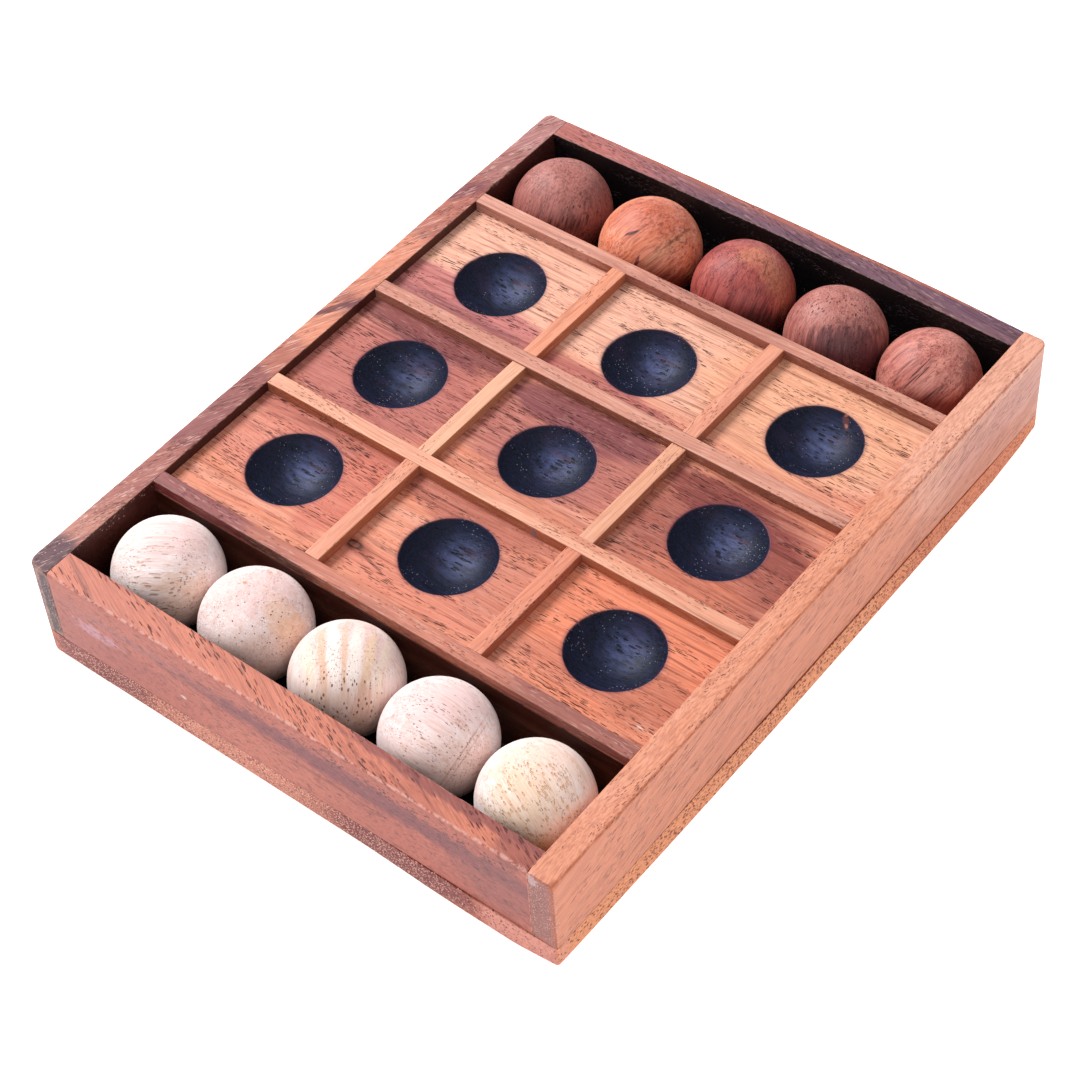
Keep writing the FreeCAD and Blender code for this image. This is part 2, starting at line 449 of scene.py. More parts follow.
class Skin:
    """Collects vertices, their edge weight and faces, and becomes a mesh object."""

    def __init__(self):
        self.points, self.edges, self.faces, self.known = [], [], [], {}

    def add(self, point, edge=0.0):
        """The number of the vertex at this place, made if it's new."""
        key = tuple(round(float(v), 4) for v in point)
        if key not in self.known:
            self.known[key] = len(self.points)
            self.points.append(key)
            self.edges.append(edge)
        return self.known[key]

    def quad(self, *corners):
        kept = list(dict.fromkeys(corners))
        if len(kept) > 2:
            self.faces.append(kept)

    def plate(self, *places):
        """A face between places rather than numbers."""
        self.quad(*[self.add(place) for place in places])

    def bridge(self, *rings):
        """Faces between closed rings of equal length, each to the next."""
        for ring, other in zip(rings, rings[1:]):
            for k in range(len(ring)):
                n = (k + 1) % len(ring)
                self.quad(ring[k], ring[n], other[n], other[k])

    def cap(self, ring, flip=False):
        middle = self.add(np.mean([self.points[v] for v in ring], axis=0))
        for k in range(len(ring)):
            pair = (ring[k], ring[(k + 1) % len(ring)])
            self.quad(*(pair[::-1] if flip else pair), middle)

    def piece(self, name, nodes, material, slot, crease=38):
        """Makes a piece of the tray, with its faces turned outwards and edges sharp above the crease."""
        data = bpy.data.meshes.new(name)
        data.from_pydata([[v * MM for v in point] for point in self.points], [], self.faces)
        weights = data.attributes.new("edge", "FLOAT", "POINT")
        weights.data.foreach_set("value", self.edges)
        bm = bmesh.new()
        bm.from_mesh(data)
        bmesh.ops.recalc_face_normals(bm, faces=bm.faces)
        for face in bm.faces:
            face.smooth = True
        for line in bm.edges:
            line.smooth = line.calc_face_angle(0.0) < math.radians(crease)
        bm.to_mesh(data)
        bm.free()
        place_piece(name, data, nodes, material, TRAY)


def waver(*place):
    """Smooth noise from about -1 to 1 at a place given in its own wavelengths."""
    return noise.noise(Vector(place))


def section(low, high, radii, wears, counts):
    """A rounded rectangle as (across, up, edge weight) points, anticlockwise from its lower left.

    radii are the four corners' radii, wears their edge weights, and counts the points along the flat
    sides, across and up.
    """
    (a0, z0), (a1, z1) = low, high
    centres = ((a0, z0, 1, 1), (a1, z0, -1, 1), (a1, z1, -1, -1), (a0, z1, 1, -1))
    points = []
    for corner, (a, z, in_a, in_z) in enumerate(centres):
        radius = radii[corner]
        first = math.pi + corner * math.pi / 2
        for k in range(ARC_SPANS + 1):
            angle = first + k * math.pi / 2 / ARC_SPANS
            points.append((a + in_a * radius + radius * math.cos(angle),
                           z + in_z * radius + radius * math.sin(angle),
                           wears[corner] * math.sin(math.pi * k / ARC_SPANS)))
        a_end, z_end, _ = points[-1]
        after = (corner + 1) % 4
        b, y, in_b, in_y = centres[after]
        if corner % 2 == 0:
            start, stop = a_end, b + in_b * radii[after]
        else:
            start, stop = z_end, y + in_y * radii[after]
        for value in np.linspace(start, stop, counts[corner % 2] + 2)[1:-1]:
            points.append((value, z_end, 0.0) if corner % 2 == 0 else (a_end, value, 0.0))
    return points


def board(node, along, radii, end_radius, plan=None, taper=None, wears=(0, 0, 1, 1), chips=(),
          pitch=1.3, spans=(6, 14), seed=0.0, trim=(0.0, 0.0), ends=(0.0, 0.0), bows=None):
    """A sawn board with hand-eased edges, lofted along X (0) or Y (1).

    radii are its four long edges' radii, from the lower one on the low side round to the upper one there,
    wears how worn those edges look, and end_radius the radii of its two ends' edges. plan gives the
    radius of an upright corner as {(side, end): radius}; taper, (side, from, to), moves a side in step
    with the way along; chips are (corner, place, length, depth) bites out of an edge. trim draws in its
    sides and ends its ends, and bows swells a side outwards as {side: ((place, outwards), ...)}.
    """
    low, high = box_mm(node)
    across = 1 - along
    start, stop = low[along] + ends[0], high[along] - ends[1]
    plan = plan or {}
    bows = bows or {}
    near_radius, far_radius = end_radius
    near_fine, far_fine = ([radius * f for f in (0.15, 0.4, 0.7, 1.0)] for radius in end_radius)
    upright = [max(plan.values(), default=0.0) * f for f in (0.06, 0.14, 0.24, 0.36, 0.5, 0.66, 0.84, 1.0)]
    stations = graded(start, stop, pitch, near_fine + upright, far_fine + upright)
    skin = Skin()
    rings = []
    for place in stations:
        near, far = place - start, stop - place
        inset = rounding(near, near_radius) + rounding(far, far_radius)
        share = near / (stop - start)
        sides = []
        for side, inwards in ((0, 1), (1, -1)):
            limit = (low if side == 0 else high)[across] + inwards * trim[side]
            if taper and taper[0] == side:
                limit = taper[1] + (taper[2] - taper[1]) * share
            if side in bows:
                limit -= inwards * float(np.interp(place, *zip(*bows[side])))
            turned = rounding(near, plan.get((side, 0), 0.0)) + rounding(far, plan.get((side, 1), 0.0))
            sway = SWAY * waver(place / SWAY_WAVE, seed + side * 5.1, 0.4)
            sides.append(limit + inwards * (turned + inset + abs(sway)))
        eased = []
        for corner, radius in enumerate(radii):
            broad, fine = waver(place / 7, corner * 3.7, seed), waver(place / 2.1, corner, seed)
            worn = 1 + WOBBLE * (broad + 0.6 * fine)
            bite = sum(depth * math.exp(-((place - spot) / length) ** 2)
                       for at, spot, length, depth in chips if at == corner)
            eased.append(max(0.04, radius * worn + bite - 0.5 * inset))
        tip = 1.0 if inset > 0 else 0.0
        ring = []
        dip = DIP * abs(waver(place / DIP_WAVE, seed, 2.2))
        for a, z, edge in section((sides[0], low[2] + inset), (sides[1], high[2] - inset - dip),
                                  eased, wears, spans):
            point = (place, a, z) if along == 0 else (a, place, z)
            ring.append(skin.add(point, max(edge, tip)))
        rings.append(ring)
    skin.bridge(*rings)
    for ring, flip in ((rings[0], False), (rings[-1], True)):
        middle = np.mean([skin.points[v] for v in ring], axis=0)
        inner = [skin.add(middle + (np.array(skin.points[v]) - middle) * END_RING) for v in ring]
        skin.bridge(ring, inner)
        skin.cap(inner, flip)
    return skin


BOARD_ARRIS = 0.08
CORNER_RADII = {(-1, -1): 2.3, (1, -1): 0.8, (1, 1): 2.6, (-1, 1): 1.8}
# How far the base board's lower edge is sanded round, and how far it swells out, along its front and right.
FRONT_EASE = ((-62, 0.8), (-52, 0.6), (14, 0.7), (34, 0.2), (52, 0.25), (60, 1.2), (63, 1.6))
RIGHT_EASE = ((-80, 1.7), (-68, 1.1), (-50, 0.5), (-30, 0.25), (62, 0.25), (72, 1.4), (80, 3.8))
FRONT_SWELL = ((20, 0.0), (40, 0.3), (54, 0.3), (62, 0.0))
RIGHT_SWELL = ((-55, 0.0), (-15, 0.25), (56, 0.2), (70, 0.0))
OTHER_EASE = 0.6
FIELD_INSET = 4.9       # where the base's thicker field begins, in from its outline
CORNER_SPANS = 8
OUTLINE_PITCH = 1.4


def along_rim(point, way, front, right, elsewhere):
    """Blends the values for the front and the right by the way that the rim faces at a point."""
    x, y = point
    shares = (max(0.0, -way[1]), max(0.0, way[0]), max(0.0, way[1]) + max(0.0, -way[0]))
    values = (float(np.interp(x, *zip(*front))), float(np.interp(y, *zip(*right))), elsewhere)
    return sum(share * value for share, value in zip(shares, values)) / sum(shares)


def make_base(material):
    """The base board: sanded round below, with its top rim eased where the rails stand on it."""
    low, high = box_mm("base_board")
    rim_top = box_mm("front_rail")[0][2]
    outline = []
    for quarter, ((sx, sy), radius) in enumerate(CORNER_RADII.items()):
        centre = np.array([(high if sx > 0 else low)[0] - sx * radius,
                           (high if sy > 0 else low)[1] - sy * radius])
        for k in range(CORNER_SPANS + 1):
            angle = math.pi + (quarter + k / CORNER_SPANS) * math.pi / 2
            way = np.array([math.cos(angle), math.sin(angle)])
            outline.append((centre + radius * way, way))
    full = []
    for k, (point, way) in enumerate(outline):
        following, _ = outline[(k + 1) % len(outline)]
        count = max(1, round(float(np.linalg.norm(following - point)) / OUTLINE_PITCH))
        full += [(point + (following - point) * j / count, way) for j in range(count)]
    below = [(share, None) for share in (0.0, 0.04, 0.13, 0.28, 0.5, 0.75, 1.0)]
    sides = [(None, 0.25 * k) for k in range(1, 5)]
    rim = [(rounding(d, BOARD_ARRIS), rim_top - d) for d in (BOARD_ARRIS * 0.5, 0.04, 0.0)]
    rim += [(0.6, rim_top), (FIELD_INSET, rim_top), (FIELD_INSET, high[2]), (FIELD_INSET + 0.5, high[2])]
    skin = Skin()
    rings = []
    for part, levels in (("below", below), ("side", sides), ("rim", rim)):
        for first, second in levels:
            ring = []
            for point, way in full:
                ease = along_rim(point, way, FRONT_EASE, RIGHT_EASE, OTHER_EASE)
                swell = along_rim(point, way, FRONT_SWELL, RIGHT_SWELL, 0.0)
                sway = RIM_SWAY * abs(waver(*(point / RIM_WAVE), 0.7))
                if part == "below":
                    inset, z = rounding(first * ease, ease), first * ease
                elif part == "side":
                    inset, z = 0.0, ease + (rim_top - BOARD_ARRIS - ease) * second
                else:
                    inset, z = first, second
                at = point - way * (inset + sway - swell)
                ring.append(skin.add((at[0], at[1], z), 1.0 if z < 0.6 * ease else 0.0))
            rings.append(ring)
    skin.bridge(*rings)
    for ring, flip in ((rings[0], True), (rings[-1], False)):
        inner = [skin.add(skin.points[v] * np.array((UNDER_RING, UNDER_RING, 1))) for v in ring]
        skin.bridge(ring, inner)
        skin.cap(inner, flip)
    skin.piece("base", ["base_board"], material, "base_wood")


# ---- the playing panel: nine dimpled fields between grooves
DIMPLE_RIM = 9.6
DIMPLE_SPHERE = 11.5
RIM_EASE = 0.3
FLAT_RING = 0.5         # how much of the flat round each rim has round rings
RIM_SPANS = 5
BOWL_RINGS = 15
STRIP_PROUD = 0.25      # the panel's front edge stands this far out past the trough strips


def dimple_centres():
    """{(row, column): (x, y)} in millimetres, from the record's openings."""
    found = {}
    for opening in frame["record"]["physics"]["openings"]:
        name = opening["name"]
        if name.endswith("_dimple"):
            row, column, _ = name.split("_")
            low, high = np.array(opening["box_m"]) / MM
            found[row, column] = ((low + high) / 2)[:2]
    return found


def dimple_profile():
    """(distance from the middle, depth) from outside the rim in to the middle."""
    above = math.sqrt(DIMPLE_SPHERE ** 2 - DIMPLE_RIM ** 2)
    turn_at = math.sqrt((DIMPLE_SPHERE + RIM_EASE) ** 2 - (above + RIM_EASE) ** 2)
    last = math.asin(turn_at / (DIMPLE_SPHERE + RIM_EASE))
    profile = [(turn_at + FLAT_RING, 0.0)]
    for k in range(RIM_SPANS + 1):
        angle = last * k / RIM_SPANS
        profile.append((turn_at - RIM_EASE * math.sin(angle), RIM_EASE * (1 - math.cos(angle))))
    for k in range(1, BOWL_RINGS + 1):
        angle = last * (1 - k / (BOWL_RINGS + 0.6))
        profile.append((DIMPLE_SPHERE * math.sin(angle), DIMPLE_SPHERE * math.cos(angle) - above))
    return profile


def make_panel(material):
    """The one board that carries the nine dimples, with grooves for the strips."""
    low, high = box_mm("playing_panel")
    top = high[2]
    floor = box_mm("near_cross_strip")[0][2]
    strips = [box_mm(name) for name in
              ("near_trough_strip", "near_cross_strip", "far_cross_strip", "far_trough_strip")]
    dividers = [box_mm(name) for name in ("middle_left_divider", "middle_right_divider")]
    x_marks = [low[0], dividers[0][0][0], dividers[0][1][0], dividers[1][0][0], dividers[1][1][0], high[0]]
    y_marks = [low[1], strips[0][0][1] + STRIP_PROUD, strips[0][1][1], strips[1][0][1], strips[1][1][1],
               strips[2][0][1], strips[2][1][1], strips[3][0][1], strips[3][1][1] - STRIP_PROUD, high[1]]
    x_counts = [36, 3, 36, 3, 36]
    y_counts = [1, 3, 30, 3, 30, 3, 30, 3, 1]
    x_fields = {0: "left", 2: "centre", 4: "right"}
    y_fields = {2: "near", 4: "middle", 6: "far"}
    centres = dimple_centres()
    skin = Skin()

    def spread(a, b, count):
        return [a + (b - a) * k / count for k in range(count + 1)]

    xs = [spread(x_marks[i], x_marks[i + 1], x_counts[i]) for i in range(len(x_counts))]
    ys = [spread(y_marks[j], y_marks[j + 1], y_counts[j]) for j in range(len(y_counts))]
    level = {}
    for i in range(len(xs)):
        for j in range(len(ys)):
            field = (i in x_fields and j in y_fields) or j in (0, len(ys) - 1)
            level[i, j] = top if field else floor
            if i in x_fields and j in y_fields:
                dimpled_field(skin, xs[i], ys[j], top, centres[y_fields[j], x_fields[i]])
                continue
            z = level[i, j]
            for a in range(len(xs[i]) - 1):
                for b in range(len(ys[j]) - 1):
                    x0, x1, y0, y1 = xs[i][a], xs[i][a + 1], ys[j][b], ys[j][b + 1]
                    skin.plate((x0, y0, z), (x1, y0, z), (x1, y1, z), (x0, y1, z))
    for (i, j), z in level.items():
        for di, dj in ((1, 0), (0, 1)):
            other = level.get((i + di, j + dj))
            if other is None or other == z:
                continue
            if di:
                line = [(xs[i][-1], y) for y in ys[j]]
            else:
                line = [(x, ys[j][-1]) for x in xs[i]]
            for (ax, ay), (bx, by) in zip(line, line[1:]):
                skin.plate((ax, ay, z), (bx, by, z), (bx, by, other), (ax, ay, other))
    panel_walls(skin, xs, ys, level, low[2], floor)
    skin.piece("playing_board", ["playing_panel"], material, "panel_wood", crease=30)


def panel_walls(skin, xs, ys, level, bottom, floor):
    """The panel's four upright sides, down from whatever height its top has there, and its underside."""
    shelves = [bottom + (floor - bottom) * k / 11 for k in range(12)]
    last_i, last_j = len(xs) - 1, len(ys) - 1
    sides = (
        [((x, ys[0][0]), level[i, 0]) for i in range(len(xs)) for x in xs[i]],
        [((xs[-1][-1], y), level[last_i, j]) for j in range(len(ys)) for y in ys[j]],
        [((x, ys[-1][-1]), level[i, last_j]) for i in reversed(range(len(xs))) for x in reversed(xs[i])],
        [((xs[0][0], y), level[0, j]) for j in reversed(range(len(ys))) for y in reversed(ys[j])],
    )
    underside = []
    for side in sides:
        for ((ax, ay), az), ((bx, by), bz) in zip(side, side[1:]):
            if (ax, ay) == (bx, by):
                continue
            for z0, z1 in zip(shelves, shelves[1:]):
                skin.plate((ax, ay, z0), (bx, by, z0), (bx, by, z1), (ax, ay, z1))
            if bz > floor:
                skin.plate((ax, ay, floor), (bx, by, floor), (bx, by, bz), (ax, ay, bz))
            underside.append(skin.add((ax, ay, bottom)))
    skin.cap(list(dict.fromkeys(underside)), flip=True)


def dimpled_field(skin, xs, ys, top, centre):
    """One field: rings that pass from its rectangular edge to the dimple's round rim and down the bowl."""
    edge = [(x, ys[0]) for x in xs[:-1]] + [(xs[-1], y) for y in ys[:-1]]
    edge += [(x, ys[-1]) for x in reversed(xs[1:])] + [(xs[0], y) for y in reversed(ys[1:])]
    profile = dimple_profile()
    start = profile[0][0]
    rings = [[skin.add((x, y, top)) for x, y in edge]]
    ways = [math.atan2(y - centre[1], x - centre[0]) for x, y in edge]
    for share in (0.03, 0.2, 0.42, 0.62, 0.8, 0.92):
        ring = []
        for (x, y), way in zip(edge, ways):
            rim = (centre[0] + start * math.cos(way), centre[1] + start * math.sin(way))
            ring.append(skin.add((x + (rim[0] - x) * share, y + (rim[1] - y) * share, top)))
        rings.append(ring)
    for reach, depth in profile:
        ring = []
        for way in ways:
            x, y = centre[0] + reach * math.cos(way), centre[1] + reach * math.sin(way)
            rough = 0.05 * waver(x / 2.6, y / 0.8, centre[0]) * min(1.0, depth)
            ring.append(skin.add((x, y, top - depth + rough)))
        rings.append(ring)
    skin.bridge(*rings)
    skin.cap(rings[-1])


UNROUND = 0.004         # how far a ball is from round, as a share of its radius


def make_ball(node, material, seed, grain):
    """A turned ball, not quite round, with shallow furrows along its grain."""
    low, high = box_mm(node)
    centre, radius = (low + high) / 2, float((high - low)[2]) / 2
    swing = Vector(grain).rotation_difference(Vector((1, 0, 0))).to_matrix()
    bm = bmesh.new()
    bmesh.ops.create_icosphere(bm, subdivisions=6, radius=1.0)
    for vertex in bm.verts:
        way = vertex.co.normalized()
        broad = waver(way.x * 1.3 + seed, way.y * 1.3, way.z * 1.3)
        log = swing @ way
        furrow = waver(log.x * 3 + seed, log.y * 14, log.z * 14)
        out = 1 - UNROUND + UNROUND * 0.7 * broad + UNROUND * 0.3 * furrow
        vertex.co = (Vector(centre) + way * radius * out) * MM
    for side in bm.faces:
        side.smooth = True
    data = bpy.data.meshes.new(node + "_turned")
    bm.to_mesh(data)
    bm.free()
    place_piece(node + "_turned", data, [node], material, node)


# ------------------------------------------------------------------------------------------- pieces
RAIL_FOOT = 6.2
RAIL_TOP = 25
FRONT_FACE = -80.5
SEAM = patch((0, 0, RAIL_FOOT), (300, 300, 0.16), "#4A1E16", 0.75, ragged=0.15, soft=0.35)


def spots(z, *rows):
    """Patches at one height, from rows of x, y, half sizes, tone, strength, then turn, ragged and soft."""
    return [patch((x, y, z), size, tone, strength, *more) for x, y, size, tone, strength, *more in rows]


def left_rail_wood():
    """Bands of mauve and orange across the top, a dark front corner, and a side to the troughs of darker
    wood under painted shade.
    """
    bands = spots(
        RAIL_TOP,
        (-60, -48, (9, 9, 30), "#A8625A", 0.6, -25), (-60, -34, (9, 7, 30), "#8C4B51", 0.7, -25),
        (-60, -22, (9, 6, 30), "#935153", 0.7, -25), (-60, -10, (9, 5, 30), "#C67C66", 0.7, -25),
        (-60, 1, (9, 6, 20), "#F0A684", 0.85, -25), (-59.5, 6.5, (1.0, 5.5, 20), "#6E3644", 0.85, -32, 0.3),
        (-60, 22, (9, 11, 20), "#EBA080", 0.85, -25), (-60, 41, (9, 8, 20), "#C47C6A", 0.7, -25),
        (-61.5, 49, (2.0, 6, 20), "#82465A", 0.7, -30, 0.6), (-60, 62, (9, 8, 20), "#B88784", 0.6, -25),
        (-60, 74, (9, 8, 20), "#C49899", 0.6, -25), (-60, -78.5, (9, 7.5, 9), "#4E2239", 0.92, 0, 0.15))
    scuffs = [patch((-60, -76, RAIL_TOP), (9, 6, 3), "#E8C4CE", 0.8, pores=(0.7, 1.6, 0.22)),
              patch((-60, -60, RAIL_TOP), (9, 10, 3), "#F0CCC0", 0.6, pores=(0.4, 2.0, 0.26))]
    return wood("left_rail_wood", ["#A15F59", "#B77667", "#C68A78"], grain=(0.42, 0.90, 0.05),
                shift=(11, 3, 5), bands=(0.02, 0.3), flecks=0.5, streaks=0.4, crowd=(0.42, 0.60),
                pores=((0.3, 3.0, 0.28, "#5A2A30", 0.8), FINE, HAIRS),
                # The side to the troughs is darker wood under painted shade; the outer side just has a tone
                # of its own.
                walls_and_painted_shade=[face((1, 0, 0), "#44160A", 0.93), face((-1, 0, 0), "#A86A5E", 0.5)],
                faces=[face((0, -1, 0), "#482832", 0.95, flecks=0.1)], patches=[*bands, *scuffs, SEAM])


def right_rail_wood():
    """Even orange wood, paler at the back, with short dark pores in its outer side."""
    marks = [patch((60, -80, 14), (4, 1.5, 12), "#E8C4B8", 0.9, pores=(1.1, 2.2, 0.36)),
             patch((62.5, 0, 14), (1.5, 90, 12), "#8A4430", 0.85, pores=(0.12, 1.7, 0.2)),
             patch((60, 60, RAIL_TOP), (9, 30, 30), "#FAC9B1", 0.6),
             patch((62.5, 66, 17), (3, 22, 6), "#C5867B", 0.6, ragged=0.6, soft=0.5),
             patch((62.5, 58, 9.0), (3, 30, 4), "#C87450", 0.6, ragged=0.5, soft=0.7),
             patch((57.5, -79.8, 23.5), (1.6, 0.8, 1.6), "#E0CCCC", 0.7, ragged=0.9)]
    return wood("right_rail_wood", ["#E9A07C", "#F3AA87", "#F8B695"], grain=(0.04, 0.97, 0.22),
                shift=(41, 9, 2), pores=((0.3, 3.0, 0.28, "#6A3428", 0.8), HAIRS), flecks=0.15, streaks=0.2,
                crowd=(0.40, 0.60), wear=0.6, wear_tone="#C8683C", patches=[*marks, SEAM],
                faces=[face((1, 0, 0), "#E89873", 0.8), face((0, -1, 0), "#965953", 0.92, flecks=0.2)])


def front_rail_wood():
    """Rose-brown with a mauve band along the front, dark pores and a few white scuffs."""
    y, top = FRONT_FACE, RAIL_TOP
    marks = [patch((22, y, 18.5), (48, 3, 2.6), "#7A3947", 0.8, ragged=0.7, soft=0.4),
             patch((-40, y, 19), (20, 3, 1.4), "#B06C66", 0.6, ragged=0.7, soft=0.4),
             patch((-2, y, 10), (16, 3, 4), "#D08068", 0.6, ragged=0.6, soft=0.5),
             patch((-50, y, 11), (24, 3, 5), "#A95B53", 0.6, ragged=0.6, soft=0.5),
             patch((12, y, 14), (16, 3, 0.35), "#96544C", 0.7, ragged=0.5),
             patch((50, y, 15), (10, 3, 8), "#945553", 0.6, ragged=0.8, soft=0.4),
             patch((26, y, 22), (34, 1.6, 1.6), "#38161E", 0.9, pores=(0.5, 2.0, 0.34)),
             patch((0, y, 16), (56, 1.6, 9), "#8C4A4A", 0.7, pores=(0.07, 1.5, 0.24)),
             patch((38, -75.3, top), (24, 1.6, 5), "#894143", 0.75, ragged=0.7),
             patch((54, -77, top), (5, 4, 5), "#944C47", 0.6, ragged=0.7),
             patch((-47, y, 15.0), (5.0, 2, 1.5), "#CC9EAC", 0.75, ragged=1.4, soft=0.4),
             patch((-24.6, y, 12), (0.8, 2, 0.4), "#EEDCDC", 0.8, ragged=0.2)]
    return wood("front_rail_wood", ["#C6755E", "#D98568", "#E69172"], grain=(0.90, -0.40, -0.08),
                shift=(3, 31, 7), pores=((0.22, 2.4, 0.32, "#46141C", 0.9),
                                         (0.10, 2.8, 0.20, "#7A3030", 0.8)),
                streaks=0.5, wear=0.75, wear_tone="#F4C6B8", crowd=(0.38, 0.58), flecks=0.08,
                faces=[face((0, -1, 0), "#BA6454", 0.8, calm=0.75)],
                # The side to the trough is darker wood under painted shade.
                walls_and_painted_shade=[face((0, 1, 0), "#3A140C", 0.9)], patches=[*marks, SEAM])


def back_rail_wood():
    """Grey-mauve, rosier at its left end, with its side to the trough darker wood painted black as shade.
    """
    return wood("back_rail_wood", ["#6F4E63", "#7C5C6F", "#8D676D"], grain=(0.99, -0.12, 0.0),
                shift=(23, 1, 17), pores=((0.3, 3.0, 0.26, "#54303C", 0.7), FINE), flecks=0.25, wear=0.3,
                # The side to the trough is darker wood painted black as shade.
                walls_and_painted_shade=[face((0, -1, 0), "#020207", 0.98)],
                patches=[patch((-52, 79, 26), (26, 9, 2), "#CE7E73", 0.85, soft=0.5),
                         patch((-20, 78.6, 26), (34, 1.6, 2), "#A16D6E", 0.7, soft=0.5),
                         patch((0, 79.9, RAIL_TOP), (80, 0.9, 6), "#C87A66", 0.8), SEAM])


def make_rails():
    """The four rails; the side rails run the whole length and the end rails stand between them."""
    board("left_rail", 1, (0.07, 0.07, 0.16, 0.5), (0.40, 0.50), plan={(0, 0): 2.3, (0, 1): 1.8},
          seed=1.0, ends=(0, 0.3),
          chips=[(2, 54.5, 1.2, 0.8), (2, 59.5, 0.8, 0.6), (2, -40, 1.5, 0.3)],
          bows={0: ((-80, 0.0), (24, 0.0), (46, 0.4), (62, 0.15), (80, 0.1))}
          ).piece("left_side_rail", ["left_rail"], left_rail_wood(), "side_rail_wood")
    board("right_rail", 1, (0.07, 0.07, 0.5, 0.16), (0.25, 0.9), plan={(1, 0): 0.8, (1, 1): 2.6},
          seed=2.0, ends=(0, 0.1), chips=[(2, -79.6, 1.2, 0.7), (3, -79.8, 0.8, 0.4)]
          ).piece("right_side_rail", ["right_rail"], right_rail_wood(), "side_rail_wood")
    low, _ = box_mm("front_rail")
    board("front_rail", 0, (0.07, 0.07, 0.14, 0.5), (0.12, 0.12), seed=3.0,
          taper=(1, low[1] + 6.4, low[1] + 5.2),
          chips=[(3, 55.5, 0.7, 0.5), (3, 51, 1.0, 0.35), (3, 46, 0.6, 0.4), (3, -31, 0.8, 0.3),
                 (2, 36, 2.0, 0.25)]
          ).piece("front_end_rail", ["front_rail"], front_rail_wood(), "end_rail_wood")
    board("back_rail", 0, (0.07, 0.07, 0.4, 0.16), (0.12, 0.12), seed=4.0,
          bows={0: ((-57, 0.2), (-30, -0.3), (0, -0.5), (30, -0.3), (57, 0.3)),
                1: ((-57, -0.35), (-40, 0.0), (0, 0.3), (30, 0.25), (46, -0.15), (57, -0.6))}
          ).piece("back_end_rail", ["back_rail"], back_rail_wood(), "end_rail_wood")


def make_strips():
    """The four long strips and the six short dividers between them."""
    edges = (0.06, 0.06, 0.20, 0.20)
    look = {"pores": ((0.5, 3.6, 0.28, "#6A3A30", 0.75), HAIRS), "fibres": 0.3}
    shape = {"end_radius": (0.08, 0.08), "wears": (0, 0, 0.6, 0.6), "pitch": 1.6, "spans": (5, 5)}
    long_tones = {
        "near_trough_strip": (["#9A574F", "#C17760", "#D28468"], "#241009", spots(
            RAIL_TOP, (-50, -49.5, (16, 9, 9), "#883C41", 0.8), (48, -49.5, (20, 9, 9), "#A2645A", 0.8),
            (5, -49.5, (24, 9, 9), "#D88E74", 0.7))),
        "near_cross_strip": (["#E8A07E", "#F5B797", "#F6BE9E"], "#B8683E", spots(
            23.5, (10, -18.3, (0.5, 0.6, 1.2), "#7C86A0", 0.8, 30))),
        "far_cross_strip": (["#CE8D7C", "#E0A58D", "#EAB49E"], "#9A5A40", spots(
            RAIL_TOP, (-42, 16.5, (20, 9, 9), "#CC8C78", 0.6))),
        "far_trough_strip": (["#B97B6C", "#D69883", "#E6AC95"], "#96563E", spots(
            RAIL_TOP, (-44, 49.5, (18, 9, 9), "#E8B09C", 0.7), (2, 49.5, (20, 9, 9), "#BA7E70", 0.5))),
    }
    for index, (node, (tones, side, patches)) in enumerate(long_tones.items()):
        trim = (STRIP_PROUD if index == 0 else 0.0, STRIP_PROUD if index == 3 else 0.0)
        material = wood(node + "_wood", tones, shift=(17 * index, 5 * index, 3), crowd=(0.40, 0.6),
                        flecks=0.3, bands=(0.012, 0.6), patches=patches, **look,
                        faces=[face((0, -1, 0), side, 0.8), face((0, 1, 0), side, 0.5)])
        board(node, 0, edges, seed=10.0 + index, trim=trim, **shape
              ).piece(node + "_planed", [node], material, "strip_wood")
    short_tones = {
        "near_left": (["#EAA280", "#F2AE8E"], "#B8683E"), "near_right": (["#E49474", "#EE9F80"], "#B46040"),
        "middle_left": (["#F2BC99", "#F8C8A5"], "#C47C4C"),
        "middle_right": (["#EDB18D", "#F5BD9C"], "#B86E48"),
        "far_left": (["#F0A37E", "#F8B28F"], "#BE6C40"), "far_right": (["#EEA686", "#F4B091"], "#AE6644"),
    }
    for index, (place, (tones, side)) in enumerate(short_tones.items()):
        node = place + "_divider"
        material = wood(node + "_wood", tones, grain=(0, 1, 0), shift=(13 * index, 7 * index, 1),
                        crowd=(0.45, 0.62), flecks=0.2, bands=(0.015, 0.7), streaks=0.2, **look,
                        faces=[face((1, 0, 0), side, 0.8), face((-1, 0, 0), side, 0.5)])
        board(node, 1, edges, seed=20.0 + index, **shape
              ).piece(node + "_planed", [node], material, "strip_wood")


